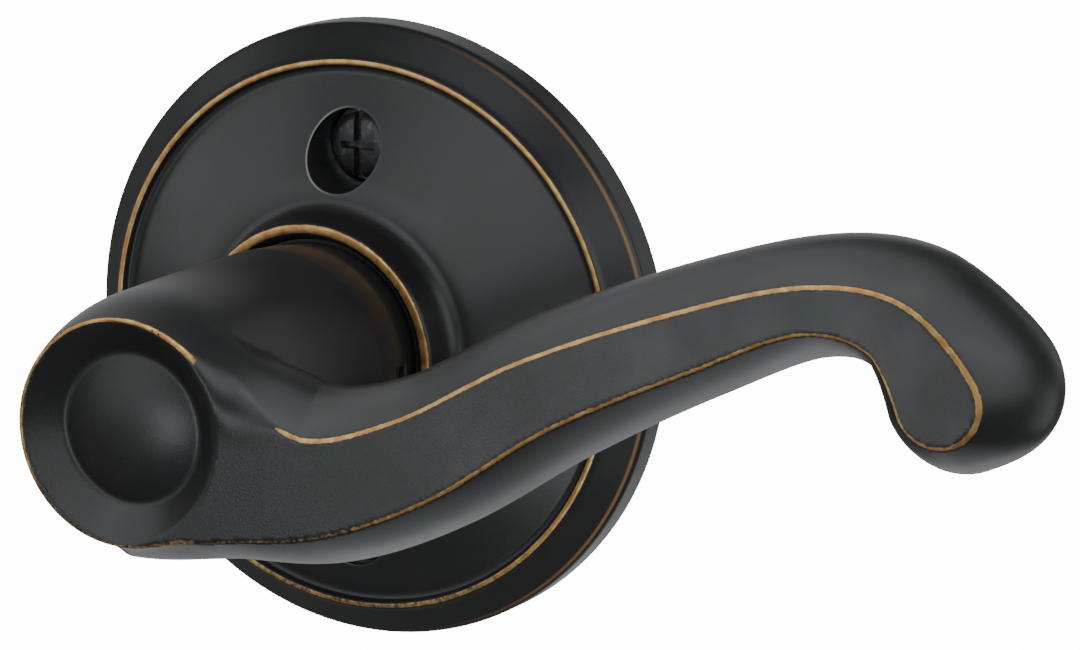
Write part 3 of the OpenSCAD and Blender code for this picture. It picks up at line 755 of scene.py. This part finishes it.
def finish_nodes():
    """Every CAD node that still shows gets its material, small edge bevels and smooth curves."""
    zinc = plated("zinc_plate", (0.62, 0.64, 0.67), (0.52, 0.56, 0.63), 0.3)
    yellow = plated("yellow_zinc_plate", (0.66, 0.52, 0.26), (0.55, 0.50, 0.36), 0.32)
    spring = plated("spring_wire_steel", (0.30, 0.31, 0.33), (0.22, 0.22, 0.24), 0.34, (1, 6, 1))
    drawn = plated("drawn_steel", (0.46, 0.46, 0.47), (0.36, 0.37, 0.39), 0.36, (6, 0.3, 6))
    cast = plated("die_cast_zinc", (0.42, 0.43, 0.44), (0.34, 0.35, 0.37), 0.48)
    plastic = nylon("natural_nylon", (0.72, 0.70, 0.62), (0.80, 0.79, 0.73))
    black_plastic = nylon("black_nylon", (0.012, 0.012, 0.013), (0.02, 0.02, 0.022))
    screw = black_oxide("black_oxide")
    materials = {
        "zinc": zinc,
        "yellow_zinc": yellow,
        "spring_steel": spring,
        "spindle_steel": drawn,
        "diecast": cast,
        "nylon": plastic,
        "black_nylon": black_plastic,
        "black_screw": screw,
    }
    wire = ("return_spring", "catch_spring", "wave_washer")
    for part in frame["record"]["subparts"]:
        name, slot = part["node"], part["material_slot"]
        if slot not in materials:
            continue
        node = frame["nodes"][name]
        node.data.materials.clear()
        node.data.materials.append(materials[slot])
        node.data.shade_smooth()
        weld = node.modifiers.new("weld", "WELD")
        weld.merge_threshold = 1e-6
        if name not in wire:
            bevel = node.modifiers.new("bevel", "BEVEL")
            bevel.width = 0.12 * MM
            bevel.segments = 2
            bevel.limit_method = "ANGLE"
            bevel.angle_limit = math.radians(40)
            flats = node.modifiers.new("flats", "WEIGHTED_NORMAL")
            flats.mode = "FACE_AREA"
            flats.weight = 50


# ---------- stage ----------


# The round room, in metres: floor height, wall radius, cove radius and the height where the dome starts
FLOOR_Z = -0.2
WALL_RADIUS = 8.0
COVE_RADIUS = 1.5
DOME_Z = 8.0
ROOM_SIDES = 64
ARC_POINTS = 13
ROOM_BRIGHTNESS = 14.0


def room_line():
    """Section of the round room, from the middle of its floor to the top of its dome."""
    middle = 0.001
    line = [(middle, FLOOR_Z), (WALL_RADIUS - COVE_RADIUS, FLOOR_Z)]
    for angle in np.linspace(0, math.pi / 2, ARC_POINTS)[1:]:
        r = WALL_RADIUS - COVE_RADIUS + COVE_RADIUS * math.sin(angle)
        line.append((r, FLOOR_Z + COVE_RADIUS * (1 - math.cos(angle))))
    for angle in np.linspace(0, math.pi / 2, ARC_POINTS):
        line.append((WALL_RADIUS * math.cos(angle) + middle, DOME_Z + WALL_RADIUS * math.sin(angle)))
    return line


def make_stage():
    """A pale round room with a coved floor, wide enough for every view."""
    line = room_line()
    turns = ROOM_SIDES
    points = [
        (r * math.cos(2 * math.pi * k / turns), r * math.sin(2 * math.pi * k / turns), z)
        for k in range(turns) for r, z in line
    ]
    n = len(line)
    faces = [
        (k * n + i, k * n + i + 1, (k + 1) % turns * n + i + 1, (k + 1) % turns * n + i)
        for k in range(turns) for i in range(n - 1)
    ]
    mesh = bpy.data.meshes.new("stage_floor")
    mesh.from_pydata(points, [], faces)
    mesh.shade_smooth()
    floor = bpy.data.objects.new("stage_floor", mesh)
    bpy.context.scene.collection.objects.link(floor)
    shade = Shade("stage_paint")
    speck = shade.noise(0.02, 3)
    floor.data.materials.append(shade.finish(
        Base_Color=shade.mix(speck, (0.93, 0.93, 0.925), (0.95, 0.95, 0.945)),
        Roughness=0.85,
        Specular_IOR_Level=0.2,
        Emission_Color=(0.98, 1.0, 0.985, 1),
        Emission_Strength=ROOM_BRIGHTNESS,
    ))
    # The bright room is only the plain background: the lamps and the world light the part
    floor.visible_diffuse = False
    floor.visible_glossy = False
    floor.visible_shadow = False


LIGHT_COLOUR = (0.96, 0.985, 1.0)
WORLD_BRIGHTNESS = 0.15


def direction(turn, rise):
    """The way to a place that is turn radians to the right of straight in front, and rise radians up."""
    return Vector((math.sin(turn) * math.cos(rise), -math.cos(turn) * math.cos(rise), math.sin(rise)))


def aim(thing, target):
    """Turns a lamp or a camera to face a point."""
    thing.rotation_euler = (Vector(target) - thing.location).to_track_quat("-Z", "Y").to_euler()


def add_lamp(name, turn, rise, glow, lit=None, reach=1.2, width=0.9, middle=(0.03, -0.03, 0)):
    """A soft square panel that faces middle. Turn is in degrees to the right of straight in front, and
    rise in degrees up. Glow is its brightness. It lights only the objects in lit, if any are given."""
    lamp = bpy.data.lights.new(name, "AREA")
    lamp.shape = "SQUARE"
    lamp.size = width
    lamp.energy = glow * math.pi * width ** 2
    lamp.color = LIGHT_COLOUR
    thing = bpy.data.objects.new(name, lamp)
    bpy.context.scene.collection.objects.link(thing)
    middle = Vector(middle)
    thing.location = middle + reach * direction(math.radians(turn), math.radians(rise))
    aim(thing, middle)
    thing.visible_camera = False
    if lit:
        group = bpy.data.collections.new(name + "_lights")
        for one in lit:
            group.objects.link(one)
        thing.light_linking.receiver_collection = group


def make_lights(lever, rose):
    """Soft panels round the part, as in a product studio. Some are flagged off the lever or the rose."""
    everything = None
    inner = [node for name, node in frame["nodes"].items() if name not in ("lever", "rose")]
    on_lever = [lever]
    on_rose = [rose] + inner
    # Turn and rise in degrees, brightness, and what the panel lights
    panels = [
        (-30, 15, 1.1, everything),
        (50, 15, 1.1, everything),
        (0, 50, 1.0, everything),
        (-150, 15, 0.5, everything),
        (150, 15, 0.5, everything),
        (-100, 50, 1.0, on_lever),
        (-50, 50, 1.1, on_lever),
        (50, 50, 1.5, on_lever),
        (0, 85, 1.2, on_lever),
        (110, -22, 1.1, on_lever),
        (180, -75, 0.8, on_lever),
        (60, 15, 0.6, on_lever),
        (-165, -50, 0.75, on_lever),
        (10, 15, 1.3, on_rose),
        (-70, 15, 1.1, on_rose),
        (90, 15, 1.5, on_rose),
        (25, -22, 2.5, on_rose),
        (180, -40, 0.7, on_rose),
        (165, 25, 1.8, inner),
        (-160, 5, 1.0, inner),
    ]
    for turn, rise, glow, lit in panels:
        add_lamp(f"panel_{turn}_{rise}", turn, rise, glow, lit)
    # A small card close to the arm brightens its front face
    add_lamp("card", -16, -10, 3.6, on_lever, reach=0.35, width=0.12, middle=(0.08, -0.06, 0.012))
    world = bpy.data.worlds.new("studio")
    bpy.context.scene.world = world
    world.use_nodes = True
    background = world.node_tree.nodes["Background"]
    background.inputs["Color"].default_value = (*LIGHT_COLOUR, 1)
    background.inputs["Strength"].default_value = WORLD_BRIGHTNESS


# The photograph's viewpoint: degrees round from straight in front, degrees up, and metres
CAMERA_TURN = 27.56
CAMERA_RISE = 12.8
CAMERA_DISTANCE = 0.9
CAMERA_TARGET = Vector((0.0182, 0, 0.0017))
LENS_MM = 282.6
SENSOR_MM = 36


def make_camera():
    """The camera, at the photograph's viewpoint."""
    lens = bpy.data.cameras.new("camera")
    lens.sensor_width = SENSOR_MM
    lens.lens = LENS_MM
    lens.clip_end = 50
    camera = bpy.data.objects.new("camera", lens)
    bpy.context.scene.collection.objects.link(camera)
    back = direction(math.radians(CAMERA_TURN), math.radians(CAMERA_RISE))
    camera.location = CAMERA_TARGET + CAMERA_DISTANCE * back
    aim(camera, CAMERA_TARGET)
    bpy.context.scene.camera = camera


lever = make_lever()
lever.data.materials.append(aged_bronze("aged_bronze_lever", lever_wear))
rose = make_rose()
rose.data.materials.clear()
# The rose's finish carries a painted highlight round its screw holes
rose.data.materials.append(aged_bronze("aged_bronze_rose", rose_wear, rose_tint_and_highlight))
finish_nodes()
make_stage()
make_lights(lever, rose)
make_camera()
